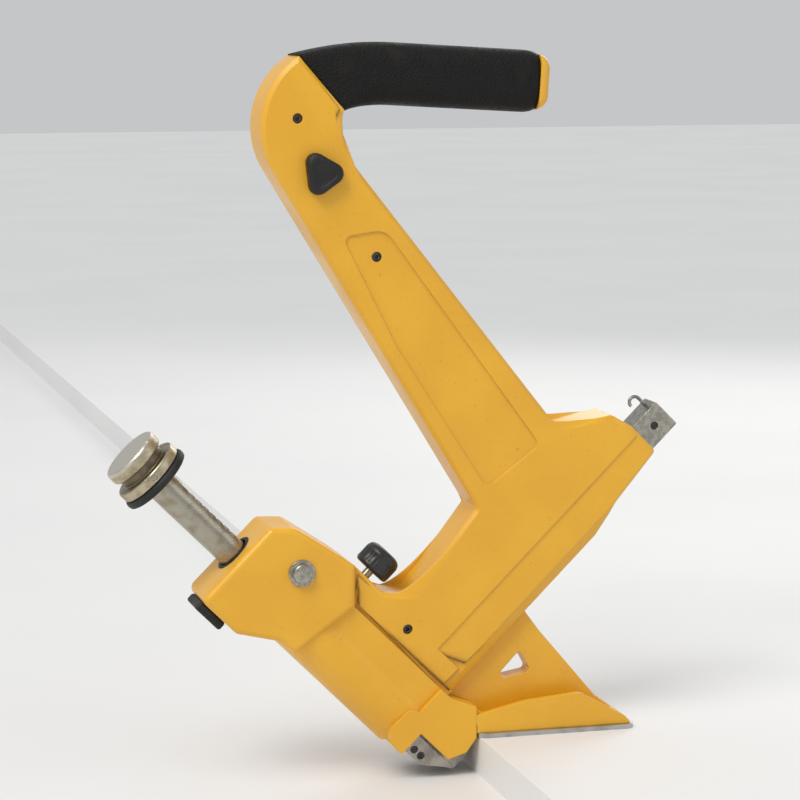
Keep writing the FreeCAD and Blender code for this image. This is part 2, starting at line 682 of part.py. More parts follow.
def ram_spring():
    """The spring that lifts the ram after each blow."""
    low = BORE_BOTTOM + BUMPER_HEIGHT
    spring = coil(SPRING_WIRE_R, SPRING_MEAN_R, COLLAR_BOTTOM - low - 0.4, 6.5)
    return in_ram(spring.translated(Vector(0, 0, low + 0.2)))


# ---- ratchet ---------------------------------------------------------------------------------------------

def pawl():
    """The ratchet pawl: its tooth meets the rack above the pivot, and the release stem pushes its tail."""
    tail_out = PAWL_ARM_N + PAWL_ARM_THICK
    body = slab([(PAWL_ARM_N, RELEASE_H - 5, 2.0), (tail_out, RELEASE_H - 5, 2.0), (tail_out, PAWL_H, 0.0),
                 (PAWL_N + 4.0, PAWL_H + 8.0), (PAWL_N + 1.0, PAWL_TIP_H + 1.5, 2.0),
                 (PAWL_TIP_N, PAWL_TIP_H + 1.5, 0.5),
                 (PAWL_TIP_N + 3.0, PAWL_TIP_H - 4.0), (PAWL_N - 3.0, PAWL_H)], -PAWL_HALF, PAWL_HALF)
    boss = crosswise(PAWL_BOSS_R, -PAWL_HALF, PAWL_HALF, (PAWL_N, PAWL_H))
    lever = body.fuse(boss).cut(crosswise(PAWL_PIN_R + RUNNING_GAP, -PAWL_HALF, PAWL_HALF, (PAWL_N, PAWL_H)))
    return in_ram(lever.removeSplitter())


def pawl_bolt():
    """The shouldered pivot bolt: domed head and washer on the left, thread end on the right."""
    face = HEAD_HALF
    washer = crosswise(8.4, -face - 1.4, -face, (PAWL_N, PAWL_H))
    head = crosswise(6.3, -face - 5.0, -face - 1.4, (PAWL_N, PAWL_H))
    head = softened(head, 1.6, on_side(-face - 5.0))
    shank = crosswise(PAWL_PIN_R, -face, face + NUT_HEIGHT + 1.5, (PAWL_N, PAWL_H))
    return in_ram(washer.fuse(head).fuse(shank))


def pawl_nut():
    """The hex nut on the pivot bolt."""
    corners = [(PAWL_N + 7.5 * math.cos(a), PAWL_H + 7.5 * math.sin(a))
               for a in (math.radians(60 * i) for i in range(6))]
    nut = slab(corners, HEAD_HALF, HEAD_HALF + NUT_HEIGHT)
    bore = crosswise(PAWL_PIN_R, HEAD_HALF - 1, HEAD_HALF + NUT_HEIGHT + 1, (PAWL_N, PAWL_H))
    return in_ram(nut.cut(bore))


def pawl_spring():
    """The spring that presses the pawl's tooth towards the rack."""
    start = PAWL_N + 3.6
    spring = coil(0.5, SPRING_POCKET_R - 1.2, PAWL_N + 16.8 - start, 6.5)
    return in_ram(laid_along(spring, start, 0.0, PAWL_SPRING_H))


def release_bush():
    """The guide bush that the frame halves clamp round the release stem."""
    bush = lengthwise(BUSH_R, BARREL_FLAT_N + 6, FLANK_N, RELEASE_H)
    return in_ram(bush.cut(lengthwise(STEM_R + RUNNING_GAP, BARREL_FLAT_N, FLANK_N + 1, RELEASE_H)))


def release_stem():
    """The steel stem from the knob to the pawl's tail."""
    start = PAWL_ARM_N + PAWL_ARM_THICK + FREE_GAP
    return in_ram(lengthwise(STEM_R, start, FLANK_N + KNOB_GAP + 10.0, RELEASE_H))


def release_knob():
    """The black knob that is pushed to free the ratchet."""
    low = FLANK_N + KNOB_GAP
    knob = lengthwise(KNOB_R, low, low + KNOB_HEIGHT, RELEASE_H)
    knob = softened(knob, 3.5, lambda e: e.BoundBox.XMin > low + KNOB_HEIGHT - 1e-3)
    return in_ram(knob.cut(lengthwise(STEM_R, low - 1, low + 10.0, RELEASE_H)))


# ---- magazine --------------------------------------------------------------------------------------------

def magazine_rails():
    """The U-shaped rail that carries the nail strip on edge."""
    rail = box((RAIL_FRONT, RAIL_REAR), (-RAIL_HALF, RAIL_HALF), (RAIL_LOW, RAIL_LOW + NAIL_HEIGHT - 2))
    slot = box((RAIL_FRONT - 1, RAIL_REAR + 1), (-SLOT_HALF, SLOT_HALF),
               (RAIL_LOW + 2, RAIL_LOW + NAIL_HEIGHT))
    rail = in_ram(rail.cut(slot).common(rail_bound()))
    return rail.cut(crosswise(SCREW_R, -RAIL_HALF, RAIL_HALF, RAIL_SCREW))


def rail_bound():
    """Keeps the rail above the rising rear of the magazine's floor."""
    low = MAG_LOW + WALL
    return slab([(RAIL_FRONT, low), (164.0, low), (188.0, 11.5 + WALL), (RAIL_REAR, 15.5 + WALL),
                 (RAIL_REAR, 44.0), (ARM_FOOT_REAR, 60.0), (RAIL_FRONT, 60.0)], -RAIL_HALF, RAIL_HALF)


def pusher():
    """The pusher: a tongue in the rail, a bridge over it, and a lug on the spring rod."""
    low = PUSHER_START
    high = PUSHER_START + PUSHER_LENGTH
    edge = ROD_Y + 3.5
    top = BRIDGE_LOW + 2.5
    behind = (MAG_CAVITY_FRONT + 1, high)
    tongue = box((low, high), (-SLOT_HALF + 0.3, SLOT_HALF - 0.3), (RAIL_LOW + 10.0, BRIDGE_LOW))
    bridge = box(behind, (-SLOT_HALF + 0.3, edge), (BRIDGE_LOW, top))
    lug = box(behind, (RAIL_HALF + FREE_GAP, edge), (ROD_H - 5.0, top))
    bored = lug.cut(lengthwise(ROD_R + 0.3, low - 1, high + 1, ROD_H, ROD_Y))
    return in_ram(tongue.fuse(bridge).fuse(bored).removeSplitter())


def pusher_rod():
    """The rod that the pusher's spring sits on."""
    return in_ram(lengthwise(ROD_R, MAG_CAVITY_FRONT - 8, RAIL_REAR + 6, ROD_H, ROD_Y))


def pusher_spring():
    """The long spring that pushes the nail strip to the nose."""
    start = PUSHER_START + PUSHER_LENGTH
    spring = coil(0.4, ROD_R + 0.9, RAIL_REAR - start - 0.4, 28)
    return in_ram(laid_along(spring, start + 0.2, ROD_Y, ROD_H))


def magazine_block():
    """The square steel block that closes the magazine's rear end."""
    rear = MAG_REAR + BLOCK_OUT
    half = BLOCK_SIDE / 2
    block = box((RAIL_REAR, rear), (-half, half), (BLOCK_LOW, BLOCK_LOW + BLOCK_SIDE))
    block = softened(block, 1.0, lambda e: e.BoundBox.XMin > rear - 1e-3)
    block = block.cut(lengthwise(ROD_R, RAIL_REAR - 1, RAIL_REAR + 6, ROD_H, ROD_Y))
    top = BLOCK_LOW + BLOCK_SIDE
    block = block.cut(upright(HOOK_R, top - 4, top + 1, rear - HOOK_INSET))
    return in_ram(block.cut(crosswise(BLOCK_PIN_R, -half - 1, half + 1, BLOCK_PIN_PLACE)))


def block_pin():
    """The cross pin in the rear block."""
    half = BLOCK_SIDE / 2
    return in_ram(crosswise(BLOCK_PIN_R, -half + 1.2, half - 1.2, BLOCK_PIN_PLACE))


def latch_hook():
    """The small wire hook on the rear block."""
    top = BLOCK_LOW + BLOCK_SIDE
    n = MAG_REAR + BLOCK_OUT - HOOK_INSET
    leg = Part.LineSegment(Vector(n, 0, top - 4), Vector(n, 0, top + 7))
    bend = Part.Arc(Vector(n, 0, top + 7), Vector(n - 3.5, 0, top + 10.5), Vector(n - 7, 0, top + 7))
    path = Part.Wire([leg.toShape(), bend.toShape()])
    ring = Part.Wire(Part.Circle(Vector(n, 0, top - 4), Vector(0, 0, 1), HOOK_R).toShape())
    return in_ram(path.makePipeShell([ring], True, True))


# ---- nose, foot and sole ---------------------------------------------------------------------------------

def nose_block():
    """The cast block under the barrel: an arched cheek on each side, and behind it the walls of the hook."""
    arch = [ram_point(-19.5, 8.0, 2.0), ram_point(-19.5, 21.0, 11.0), ram_point(6.0, 20.5, 6.0),
            ram_point(9.0, 4.0)]
    cheeks = slab(arch, -NOSE_HALF, NOSE_HALF)
    core = slab([ram_point(-19.5, CHEEK_LOW, 2.0), ram_point(-19.5, BARREL_BOTTOM),
                 ram_point(BARREL_FLAT_N, BARREL_BOTTOM), ram_point(BARREL_FLAT_N, CHEEK_LOW)],
                -NOSE_HALF, NOSE_HALF)
    walls = slab([ram_point(JAW_SPLIT, CHEEK_LOW + 1), ram_point(JAW_SPLIT, -21.0),
                  (SOLE_FRONT - 7.0, -9.0, 2.0), (SOLE_FRONT - 0.5, 0.0), (SOLE_FRONT - 0.5, 20.0),
                  ram_point(BARREL_FLAT_N, CHEEK_LOW + 1)], -NOSE_HALF, NOSE_HALF)
    block = cheeks.cut(in_ram(upright(BARREL_R, BARREL_BOTTOM, 60.0))).fuse(core).fuse(walls)
    block = block.cut(in_ram(barrel(BARREL_BOTTOM, 60.0)))
    block = block.cut(in_ram(box((-20.0, JAW_REAR), (-JAW_HALF, JAW_HALF), (-60.0, CHEEK_LOW))))
    block = block.cut(in_ram(blade_channel(CHEEK_LOW - 1, BARREL_BOTTOM + 1)))
    return block.cut(in_ram(nail_slot(RAIL_LOW, BARREL_BOTTOM + 1)))


def nosepiece():
    """The steel jaw that hooks over the board's tongue edge, with a slot for looking into its channel."""
    jaw = slab([(-16.5, CHEEK_LOW), (-16.5, -10.0, 3.0), (-4.4, NOSE_TIP, 1.5), (9.0, NOSE_TIP),
                (JAW_REAR, -22.0), (JAW_REAR, CHEEK_LOW)], -JAW_HALF, JAW_HALF)
    flank = slab([(-16.5, CHEEK_LOW), (-16.5, -10.0, 3.0), (-8.0, -22.0), (JAW_SPLIT - JAW_GAP, -24.0),
                  (JAW_SPLIT - JAW_GAP, CHEEK_LOW)], -NOSE_HALF + 2, NOSE_HALF - 2)
    jaw = jaw.fuse(flank).cut(blade_channel(NOSE_TIP - 1, CHEEK_LOW + 1))
    jaw = jaw.cut(box((-1.5, 1.5), (-JAW_HALF - 1, 0.0), (-22.0, 0.0)))
    for h in NOSE_SCREW_H:
        jaw = jaw.cut(crosswise(NOSE_SCREW_R, -NOSE_HALF, NOSE_HALF, (NOSE_SCREW_N, h)))
        jaw = jaw.cut(crosswise(NOSE_SCREW_HEAD_R + 0.2, -NOSE_HALF, -NOSE_HALF + 4.0, (NOSE_SCREW_N, h)))
    return in_ram(jaw)


def nose_screws():
    """The two small screws across the steel jaw."""
    screws = []
    for h in NOSE_SCREW_H:
        head = crosswise(NOSE_SCREW_HEAD_R, -NOSE_HALF + 2.2, -NOSE_HALF + 4.0, (NOSE_SCREW_N, h))
        shank = crosswise(NOSE_SCREW_R, -NOSE_HALF + 4.0, NOSE_HALF - 3.0, (NOSE_SCREW_N, h))
        screws.append(in_ram(head.fuse(shank)))
    return Part.makeCompound(screws)


def base_foot():
    """The foot: a pierced web under the magazine, standing in a channel with shallow V-shaped side walls."""
    rear = SOLE_LENGTH / 2 - 2
    web = slab([ram_point(BARREL_FLAT_N, MAG_LOW), ram_point(100.0, MAG_LOW, 2.0), (-6.8, 63.3, 6.0),
                (31.2, 18.3, 10.0), (46.0, 7.0, 3.0), (rear, SOLE_THICK), (SOLE_FRONT, SOLE_THICK),
                ram_point(BARREL_FLAT_N, -20.0)], -FOOT_HALF, FOOT_HALF)
    hole = slab([(-37.0, 32.0, 3.0), (-19.2, 51.0, 2.5), (-11.5, 36.5, 2.5)], -FOOT_HALF - 1, FOOT_HALF + 1)
    walls = slab([ram_point(9.0, 20.0), (-76.0, 20.7, 4.0), (-56.0, 13.6, 5.0), (-20.0, 21.8),
                  (16.0, 25.0, 12.0), (46.0, 8.0, 4.0), (rear, SOLE_THICK), (SOLE_FRONT, SOLE_THICK),
                  (SOLE_FRONT, 8.0), ram_point(BARREL_FLAT_N, 0.0), ram_point(9.0, 4.0)],
                 -FOOT_SIDE, FOOT_SIDE)
    room = box((SOLE_FRONT + FOOT_WALL, rear - FOOT_WALL), (-FOOT_SIDE + FOOT_WALL, FOOT_SIDE - FOOT_WALL),
               (SOLE_THICK + FOOT_FLANGE, 60.0))
    foot = walls.cut(room).fuse(web.cut(hole))
    over = box((BARREL_FLAT_N - 2, 200.0), (-FRAME_HALF, FRAME_HALF), (MAG_LOW, 100.0))
    foot = foot.cut(in_ram(over)).cut(in_ram(barrel(-60.0, 120.0))).cut(nose_block())
    for x, y in sole_screw_places():
        foot = foot.cut(upright(SCREW_R, SOLE_THICK, SOLE_THICK + FOOT_FLANGE + 1, x, y))
    return max(foot.removeSplitter().Solids, key=lambda solid: solid.Volume)


def sole_screw_places():
    """The four corners where screws hold the sole plate."""
    return [(x, y) for x in (-SOLE_SCREW_X, SOLE_SCREW_X) for y in (-SOLE_SCREW_Y, SOLE_SCREW_Y)]


def sole_plate():
    """The flat plate that slides on the floor."""
    plate = box((-SOLE_LENGTH / 2, SOLE_LENGTH / 2), (-SOLE_HALF, SOLE_HALF), (0.0, SOLE_THICK))
    plate = softened(plate, 6.0, lambda e: e.BoundBox.ZLength > SOLE_THICK / 2)
    for x, y in sole_screw_places():
        plate = plate.cut(upright(SCREW_R + SCREW_CLEAR, -1, SOLE_THICK + 1, x, y))
        sink = Part.makeCone(SCREW_HEAD_R + SCREW_CLEAR, SCREW_R + SCREW_CLEAR, 2.4, Vector(x, y, 0))
        plate = plate.cut(sink)
    return plate


def sole_screws():
    """The four countersunk screws under the sole plate."""
    screws = []
    for x, y in sole_screw_places():
        head = Part.makeCone(SCREW_HEAD_R, SCREW_R, 2.4, Vector(x, y, 0.3))
        screws.append(head.fuse(upright(SCREW_R, 2.7, SOLE_THICK + FOOT_FLANGE - 1.0, x, y)))
    return Part.makeCompound(screws)


def main():
    os.makedirs("parts", exist_ok=True)
    for name, make in NODES.items():
        shape = make()
        if not shape.isValid():
            raise ValueError(f"{name} is not a valid shape")
        shape.exportStep(f"parts/{name}.step")

NODES = {
    "frame_left": lambda: frame_half(-1),
    "frame_right": lambda: frame_half(1),
    "arm_screws": lambda: clamp_screws(clamp_screw_places()[:2]),
    "tang_screws": lambda: clamp_screws(clamp_screw_places()[2:]),
    "rail_screws": rail_screws,
    "housing_dowel": housing_dowel,
    "grip": grip,
    "grip_end_cap": grip_end_cap,
    "end_cap_screw": end_cap_screw,
    "arm_bumper": arm_bumper,
    "drive_housing": drive_housing,
    "front_pad": front_pad,
    "front_pad_screws": front_pad_screws,
    "upper_bush": upper_bush,
    "wiper_ring": wiper_ring,
    "stroke_bumper": stroke_bumper,
    "ram_shaft": ram_shaft,
    "driver_blade": driver_blade,
    "blade_pin": blade_pin,
    "strike_head": strike_head,
    "ram_ring": ram_ring,
    "strike_head_pin": strike_head_pin,
    "ram_spring": ram_spring,
    "pawl": pawl,
    "pawl_bolt": pawl_bolt,
    "pawl_nut": pawl_nut,
    "pawl_spring": pawl_spring,
    "release_bush": release_bush,
    "release_stem": release_stem,
    "release_knob": release_knob,
    "magazine_rails": magazine_rails,
    "pusher": pusher,
    "pusher_rod": pusher_rod,
    "pusher_spring": pusher_spring,
    "magazine_block": magazine_block,
    "block_pin": block_pin,
    "latch_hook": latch_hook,
    "nose_block": nose_block,
    "nosepiece": nosepiece,
    "nose_screws": nose_screws,
    "base_foot": base_foot,
    "sole_plate": sole_plate,
    "sole_screws": sole_screws,
}

main()
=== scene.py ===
import math

import bmesh
import bpy
from mathutils import Matrix, Vector


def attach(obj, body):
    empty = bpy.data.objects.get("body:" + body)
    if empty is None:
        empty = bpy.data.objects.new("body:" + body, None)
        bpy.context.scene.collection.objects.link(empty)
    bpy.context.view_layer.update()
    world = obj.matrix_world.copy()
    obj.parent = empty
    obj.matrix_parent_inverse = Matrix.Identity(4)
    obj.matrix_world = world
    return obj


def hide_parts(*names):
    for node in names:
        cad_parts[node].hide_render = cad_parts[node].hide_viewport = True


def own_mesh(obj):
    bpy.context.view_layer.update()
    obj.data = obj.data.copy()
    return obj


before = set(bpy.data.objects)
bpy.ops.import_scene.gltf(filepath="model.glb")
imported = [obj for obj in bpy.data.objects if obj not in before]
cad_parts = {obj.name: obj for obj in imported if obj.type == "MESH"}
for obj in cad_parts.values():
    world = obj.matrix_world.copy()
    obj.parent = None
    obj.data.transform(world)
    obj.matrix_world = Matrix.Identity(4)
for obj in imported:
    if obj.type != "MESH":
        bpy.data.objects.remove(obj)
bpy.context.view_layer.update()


# ---- Painted castings ------------------------------------------------------------------------------------
# The two frame halves, the drive housing, the nose block and the foot are cast aluminium.
# They are powder-coated one by one in a warm yellow, lighter on the sharp edges as a painted highlight.
# The halves meet on the middle plane, and screws through the arm and the handle's tang clamp them.

class Socket:
    """A shader socket. Arithmetic on it adds Math nodes."""

    def __init__(self, tree, source=None):
        self.tree = tree
        self.source = source

    def node(self, kind, settings=None, inputs=None, output=0):
        """Adds a node: settings first, then its sockets' values or links. Gives one of its outputs."""
        made = self.tree.nodes.new(kind)
        for name, value in (settings or {}).items():
            setattr(made, name, value)
        for name, value in (inputs or {}).items():
            if isinstance(value, Socket):
                self.tree.links.new(value.source, made.inputs[name])
            else:
                made.inputs[name].default_value = value
        return Socket(self.tree, made.outputs[output] if made.outputs else None)

    def maths(self, operation, one, other):
        return self.node("ShaderNodeMath", {"operation": operation}, {0: one, 1: other})

    def __add__(self, other):
        return self.maths("ADD", self, other)

    def __sub__(self, other):
        return self.maths("SUBTRACT", self, other)

    def __rsub__(self, other):
        return self.maths("SUBTRACT", other, self)

    def __mul__(self, other):
        return self.maths("MULTIPLY", self, other)

    __radd__ = __add__
    __rmul__ = __mul__


def coating(name, fixed, varying):
    """A one-shader material: fixed values, and what varying(start) makes change over the surface."""
    material = bpy.data.materials.new(name)
    material.use_nodes = True
    material.node_tree.nodes.clear()
    start = Socket(material.node_tree)
    shader = start.node("ShaderNodeBsdfPrincipled", {}, {**fixed, **varying(start)}, "BSDF")
    start.node("ShaderNodeOutputMaterial", {}, {"Surface": shader})
    return material


def place(start):
    """The point on the object, in metres."""
    return start.node("ShaderNodeTexCoord", {}, {}, "Object")


def noise(start, size, detail=2.0, where=None):
    """Soft noise about 0.5, whose blobs are roughly size metres across."""
    inputs = {"Vector": where or place(start), "Scale": 1.0 / size, "Detail": detail}
    return start.node("ShaderNodeTexNoise", {}, inputs)


def ranged(value, low, high, first=0.0, last=1.0):
    """Takes low..high smoothly to first..last, and stops there."""
    settings = {"interpolation_type": "SMOOTHSTEP"}
    inputs = {0: value, 1: low, 2: high, 3: first, 4: last}
    return value.node("ShaderNodeMapRange", settings, inputs)


def mixed(factor, one, other):
    """A colour between one and other."""
    return factor.node("ShaderNodeMix", {"data_type": "RGBA"}, {0: factor, 6: one, 7: other}, 2)


def eased(start, radius):
    """The surface normal with its sharp edges rounded off."""
    return start.node("ShaderNodeBevel", {"samples": 6}, {"Radius": radius})


def edges(start, radius):
    """1 along sharp edges and 0 on the flats."""
    flat = start.node("ShaderNodeNewGeometry", {}, {}, "Normal")
    round_normal = eased(start, radius)
    inputs = {0: flat, 1: round_normal}
    match = start.node("ShaderNodeVectorMath", {"operation": "DOT_PRODUCT"}, inputs, "Value")
    return ranged(1.0 - match, 0.02, 0.25)


def bumped(height, distance, normal):
    """A normal with a height in metres times distance laid on it."""
    return height.node("ShaderNodeBump", {}, {"Distance": distance, "Height": height, "Normal": normal})


def paint(material, *names):
    """Gives CAD nodes their finish."""
    for name in names:
        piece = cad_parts[name]
        piece.data.materials.clear()
        piece.data.materials.append(material)


def yellow_coat(start):
    broad = noise(start, 0.045, 3.0)
    fine = noise(start, 0.0011, 2.0)
    speck = ranged(noise(start, 0.0022, 4.0), 0.66, 0.72)
    edge = edges(start, 0.0011)
    worn = edge * ranged(noise(start, 0.006, 4.0), 0.50, 0.66)
    yellow = mixed(ranged(broad, 0.35, 0.65), (0.80, 0.42, 0.018, 1), (0.76, 0.385, 0.015, 1))
    # Painted highlight: the sharp edges are lifted to a lighter, brighter yellow.
    yellow_with_highlight = mixed(edge * 0.5, yellow, (0.88, 0.56, 0.07, 1))
    soiled = mixed(speck * 0.35, yellow_with_highlight, (0.36, 0.19, 0.02, 1))
    scuffed = mixed(worn * 0.22, soiled, (0.55, 0.42, 0.20, 1))
    return {
        "Base Color": scuffed,
        "Roughness": ranged(broad, 0.3, 0.7, 0.34, 0.46) + worn * 0.1,
        "Normal": bumped(fine + broad * 0.6, 0.00011, eased(start, 0.0011)),
    }


yellow = coating("yellow powder coat", {"Coat Weight": 0.25, "Coat Roughness": 0.18}, yellow_coat)
paint(yellow, "frame_left", "frame_right", "drive_housing", "nose_block", "base_foot", "grip_end_cap")


# ---- Sole plate -------------------------------------------------------------------------------------------
# A flat steel plate that slides over the floorboards, held under the foot by four countersunk screws.
# It is sawn, drilled and linished, and use leaves long fine scratches along it.

def sliding_steel(start):
    along = start.node("ShaderNodeMapping", {}, {"Vector": place(start), "Scale": (40.0, 1800.0, 900.0)})
    scratch = noise(start, 1.0, 4.0, along)
    stain = noise(start, 0.012, 4.0)
    colour = mixed(ranged(stain, 0.45, 0.75), (0.50, 0.49, 0.48, 1), (0.30, 0.28, 0.26, 1))
    return {
        "Base Color": colour,
        "Roughness": ranged(scratch, 0.3, 0.7, 0.24, 0.44),
        "Normal": bumped(scratch, 0.00004, eased(start, 0.0006)),
    }


paint(coating("linished steel", {"Metallic": 1.0}, sliding_steel), "sole_plate")


# ---- Screws, pawl and dark pins ---------------------------------------------------------------------------
# Socket-head screws in black oxide steel clamp the castings and hold the end cap, pad, jaw and sole.
# The pawl, the block's pin and the housing's dowel have the same dark satin finish, which rubs through to
# grey on their rims.

def black_oxide(start):
    """A near-black satin skin on steel."""
    worn = edges(start, 0.0005) * ranged(noise(start, 0.0015, 3.0), 0.42, 0.6)
    mottle = noise(start, 0.003, 4.0)
    dark = mixed(ranged(mottle, 0.35, 0.65), (0.045, 0.043, 0.042, 1), (0.085, 0.08, 0.075, 1))
    return {
        "Base Color": mixed(worn, dark, (0.42, 0.41, 0.40, 1)),
        "Roughness": ranged(mottle, 0.3, 0.7, 0.36, 0.52),
        "Normal": bumped(noise(start, 0.0004, 2.0), 0.00002, eased(start, 0.0004)),
    }


oxide = coating("black oxide steel", {"Metallic": 0.9}, black_oxide)
paint(oxide, "arm_screws", "tang_screws", "rail_screws", "end_cap_screw", "front_pad_screws",
      "nose_screws", "sole_screws", "pawl", "block_pin", "housing_dowel")


# ---- Handle grip ------------------------------------------------------------------------------------------
# A moulded rubber sleeve pushed over the frame's tang. Its front is cut on a slant against the elbow and is
# square there, like the tang, and it grows rounder to the rear. A fine pebble covers it.

GRIP_LENGTH = 0.123
GRIP_DROP = math.radians(3.4)
GRIP_START = Vector((-0.133, 0, 0.417))
GRIP_HALF_HEIGHT = 0.01925
GRIP_HALF_WIDTH = 0.0165
SLANT_TOP = Vector((-0.163, 0, 0.4265))
SLANT_FOOT = Vector((-0.135, 0, 0.394))
BEND_SHARE = 0.35
SQUARE_SHARE = 0.3
LIP_SHARE = 0.05
GRIP_RINGS = 44
GRIP_RING_POINTS = 56


def solid(name, rings, closed=True):
    """Skins a row of like rings of points into one smooth mesh, and closes its ends."""
    mesh = bmesh.new()
    rows = [[mesh.verts.new(point) for point in ring] for ring in rings]
    count = len(rings[0])
    for near, far in zip(rows, rows[1:]):
        for i in range(count):
            mesh.faces.new((near[i], near[(i + 1) % count], far[(i + 1) % count], far[i]))
    if closed:
        mesh.faces.new(list(reversed(rows[0])))
        mesh.faces.new(rows[-1])
    bmesh.ops.recalc_face_normals(mesh, faces=mesh.faces)
    data = bpy.data.meshes.new(name)
    mesh.to_mesh(data)
    mesh.free()
    for face in data.polygons:
        face.use_smooth = len(face.vertices) == 4
    piece = bpy.data.objects.new(name, data)
    bpy.context.scene.collection.objects.link(piece)
    return piece


def finished(piece, material, body, slot, *nodes):
    """Gives a new piece its material and its body, and hides the CAD nodes that it stands for. Its slot is
    not used.
    """
    piece.data.materials.append(material)
    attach(piece, body)
    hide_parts(*nodes)
    return piece


def bent(low, turn, high, t):
    """A point along a smooth bend from low past turn to high."""
    return low * (1 - t) ** 2 + turn * 2 * t * (1 - t) + high * t * t


def grip_point(along, share):
    """A point from metres along the grip's straight run, and a share of its half height above the middle."""
    forward = Vector((math.cos(GRIP_DROP), 0, -math.sin(GRIP_DROP)))
    upward = Vector((math.sin(GRIP_DROP), 0, math.cos(GRIP_DROP)))
    return GRIP_START + forward * along + upward * GRIP_HALF_HEIGHT * share


def handle_rings():
    """The grip's rings from the slant to the end cap, with corners that start square and grow rounder."""
    crest = grip_point(0.002, 0.99)
    shoulder = grip_point(0.030, 1.0)
    under = grip_point(0.010, -1.0)
    belly = grip_point(0.030, -1.0)
    rings = []
    for i in range(GRIP_RINGS + 1):
        t = i / GRIP_RINGS
        if t < BEND_SHARE:
            top = bent(SLANT_TOP, crest, shoulder, t / BEND_SHARE)
            foot = bent(SLANT_FOOT, under, belly, t / BEND_SHARE)
        else:
            s = (t - BEND_SHARE) / (1 - BEND_SHARE)
            top = shoulder.lerp(grip_point(GRIP_LENGTH, 1.0), s)
            foot = belly.lerp(grip_point(GRIP_LENGTH, -1.0), s)
        swell = 0.955 + 0.045 * math.sin(math.pi * min(1.0, t * 1.05))
        lip = min(1.0, 0.90 + 0.1 * math.sqrt(min(1.0, (1 - t) / LIP_SHARE)))
        front = max(0.0, 1 - t / SQUARE_SHARE)
        height_power = 0.62 - 0.44 * front
        width_power = 0.72 - 0.50 * front
        middle = (top + foot) / 2
        rise = (top - foot) / 2 * (1 + 0.055 * front)
        ring = []
        for k in range(GRIP_RING_POINTS):
            a = 2 * math.pi * k / GRIP_RING_POINTS
            u = math.copysign(abs(math.sin(a)) ** height_power, math.sin(a))
            v = math.copysign(abs(math.cos(a)) ** width_power, math.cos(a))
            ring.append(middle + rise * (u * lip) + Vector((0, GRIP_HALF_WIDTH * swell * v * lip, 0)))
        rings.append(ring)
    return rings


def pebbled_rubber(start):
    cell = start.node("ShaderNodeTexVoronoi", {}, {"Vector": place(start), "Scale": 620.0}, "Distance")
    grain = noise(start, 0.0004, 3.0)
    dust = noise(start, 0.02, 5.0)
    height = ranged(cell, 0.1, 0.62, 1.0, 0.0) + grain * 0.12
    worn = ranged(dust, 0.52, 0.75) * 0.5
    return {
        "Base Color": mixed(worn, (0.008, 0.0075, 0.007, 1), (0.022, 0.020, 0.018, 1)),
        "Roughness": ranged(dust, 0.3, 0.7, 0.50, 0.66),
        "Normal": bumped(height, 0.00045, start.node("ShaderNodeNewGeometry", {}, {}, "Normal")),
    }


rubber_pebble = coating("pebbled black rubber", {"Specular IOR Level": 0.2}, pebbled_rubber)
handle = solid("grip_sleeve", handle_rings())
finished(handle, rubber_pebble, "frame", "black_rubber", "grip")


# ---- Arm bumper -------------------------------------------------------------------------------------------
# A domed rubber stop with a rounded three-cornered outline, on the left of the arm.
# Its stem is pressed into the casting, and it keeps the tool from scuffing when it is laid down.

def rounded_outline(corners, steps=9):
    """Points round a polygon in XZ with rounded corners (x, z, radius)."""
    points = []
    for i, (x, z, radius) in enumerate(corners):
        corner = Vector((x, z))
        back = (Vector(corners[i - 1][:2]) - corner).normalized()
        ahead = (Vector(corners[(i + 1) % len(corners)][:2]) - corner).normalized()
        half = back.angle(ahead) / 2
        centre = corner + (back + ahead).normalized() * radius / math.sin(half)
        enter = corner + back * radius / math.tan(half) - centre
        leave = corner + ahead * radius / math.tan(half) - centre
        for k in range(steps):
            points.append(centre + enter.slerp(leave, k / (steps - 1)).normalized() * radius)
    return points


def domed(name, corners, profile):
    """A pad from its outline and its (scale, y) profile."""
    ring = rounded_outline(corners)
    middle = sum(ring, Vector((0, 0))) / len(ring)
    rings = []
    for scale, y in profile:
        rings.append([Vector((middle.x + (p.x - middle.x) * scale, y, middle.y + (p.y - middle.y) * scale))
                      for p in ring])
    return solid(name, rings)


def smooth_rubber(start):
    broad = noise(start, 0.01, 4.0)
    grain = noise(start, 0.0005, 3.0)
    return {
        "Base Color": mixed(ranged(broad, 0.45, 0.7), (0.010, 0.010, 0.010, 1), (0.022, 0.021, 0.020, 1)),
        "Roughness": ranged(broad, 0.3, 0.7, 0.46, 0.62),
        "Normal": bumped(grain, 0.00008, eased(start, 0.0005)),
    }


rubber = coating("moulded black rubber", {"Specular IOR Level": 0.4}, smooth_rubber)
stop = domed("arm_stop", [(-0.1615, 0.3735, 0.006), (-0.1575, 0.3385, 0.006), (-0.1315, 0.3565, 0.0065)],
             [(0.97, -0.0180), (1.0, -0.0186), (1.0, -0.0222), (0.975, -0.0238), (0.91, -0.0250),
              (0.80, -0.0257), (0.62, -0.02595), (0.60, -0.02555), (0.56, -0.0254), (0.30, -0.0257),
              (0.06, -0.0258)])
finished(stop, rubber, "frame", "black_rubber", "arm_bumper")


# ---- Head pad and seals -----------------------------------------------------------------------------------
# A moulded rubber pad with two screws faces the front of the head, a wiper seal rings the shaft where it
# enters the head, a ring cushions the strike head's flange, and a washer sits at the bottom of the bore.

RAM_FOOT = Vector((-0.0845, 0, 0.0035))
ACROSS_RAM = Vector((math.sqrt(0.5), 0, math.sqrt(0.5)))
UP_RAM = Vector((-math.sqrt(0.5), 0, math.sqrt(0.5)))
SIDEWAYS = Vector((0, 1, 0))


def at_ram(n, h, y=0.0):
    """A point from millimetres across the ram axis, up it, and to the side."""
    return RAM_FOOT + (ACROSS_RAM * n + UP_RAM * h + SIDEWAYS * y) / 1000


